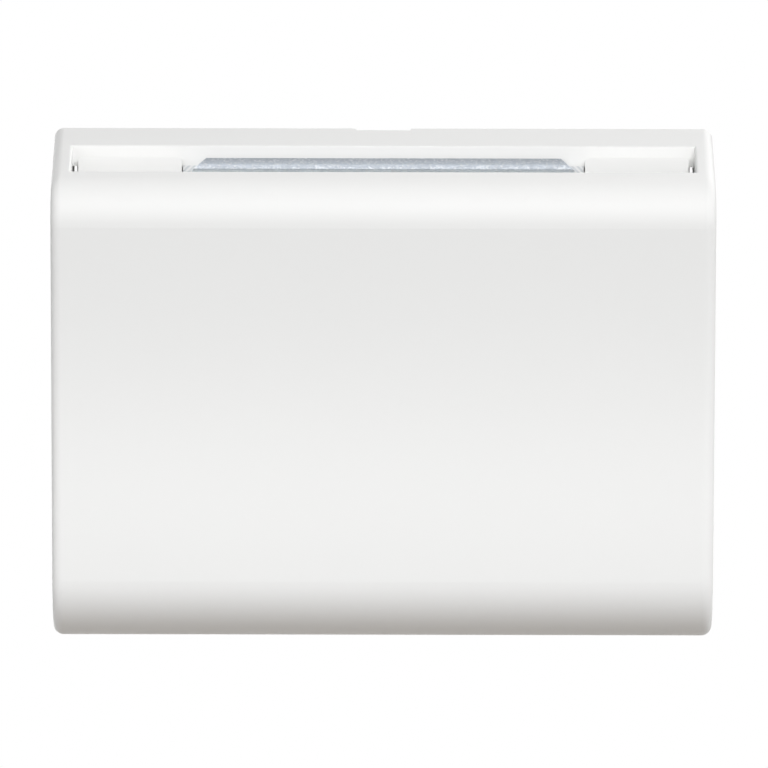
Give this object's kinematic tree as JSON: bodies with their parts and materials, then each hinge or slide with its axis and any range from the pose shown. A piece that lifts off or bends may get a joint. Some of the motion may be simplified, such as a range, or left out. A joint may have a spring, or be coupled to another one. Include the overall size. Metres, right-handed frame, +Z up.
{
  "type": "key card switch",
  "caption": "Wall key card switch: a wedge-shaped white pocket with a card slot along its sloping top, a lit bar in the slot and a lever-worked microswitch in a box behind.",
  "frame": {"origin": "middle of the wall plane, where the box passes through the support frame's window", "axes": "+X to the viewer's right, +Y into the wall, +Z up; the front faces -Y"},
  "size_m": [0.06, 0.0408, 0.0462],
  "materials": {
    "white_gloss": "gloss moulded",
    "white_matte": "satin moulded",
    "silver_diffuser": "pearl silver-grey, fine sparkle",
    "clear_plastic": "clear moulded",
    "board": "solder resist",
    "lamp": "lamp encapsulation",
    "black_plastic": "satin moulded",
    "red_plastic": "moulded",
    "grey_plastic": "satin moulded",
    "lever_plastic": "satin moulded",
    "tinned_brass": "tinned",
    "brass": "machined",
    "steel": "zinc plated"
  },
  "bodies": {
    "base": {"front_cover": "white_gloss", "base_frame": "white_matte", "guide_plate": "white_matte", "card_guide_left": "white_gloss", "card_guide_right": "white_gloss", "light_bar": "silver_diffuser", "light_guide": "clear_plastic", "circuit_board": "board", "indicator_lamp_left": "lamp", "indicator_lamp_right": "lamp", "board_resistors": "black_plastic", "board_rectifier": "black_plastic", "lamp_lead_left": "tinned_brass", "lamp_lead_right": "tinned_brass", "mechanism_housing": "grey_plastic", "housing_screws": "steel", "lever_pin": "steel", "return_spring": "steel", "microswitch_body": "black_plastic", "common_tab": "tinned_brass", "open_tab": "tinned_brass", "closed_tab": "tinned_brass", "switch_washers": "steel", "common_link": "brass", "open_link": "brass", "closed_link": "brass", "terminal_screws": "steel", "upper_catch": "steel", "lower_catch": "steel", "terminal_clamp_1": "brass", "terminal_clamp_2": "brass", "terminal_clamp_3": "brass", "terminal_clamp_4": "brass"},
    "lever": {"card_lever": "lever_plastic"},
    "plunger": {"microswitch_plunger": "red_plastic"}
  },
  "joints": [
    {"name": "lever_pivot", "type": "hinge", "parent": "base", "child": "lever", "pos_m": [0, 0.008, -0.0105], "axis": [1, 0, 0], "range_deg": [0, 15], "stiffness_Nm_per_rad": 0.02, "springref_deg": -20.05, "deforming": ["return_spring"]},
    {"name": "plunger_slide", "type": "slide", "parent": "base", "child": "plunger", "axis": [0, 0, 1], "range_m": [0, 0.0014]}
  ],
  "couplings": [
    {"joint": "plunger_slide", "follows": "lever_pivot", "m_per_rad": 0.0052}
  ]
}
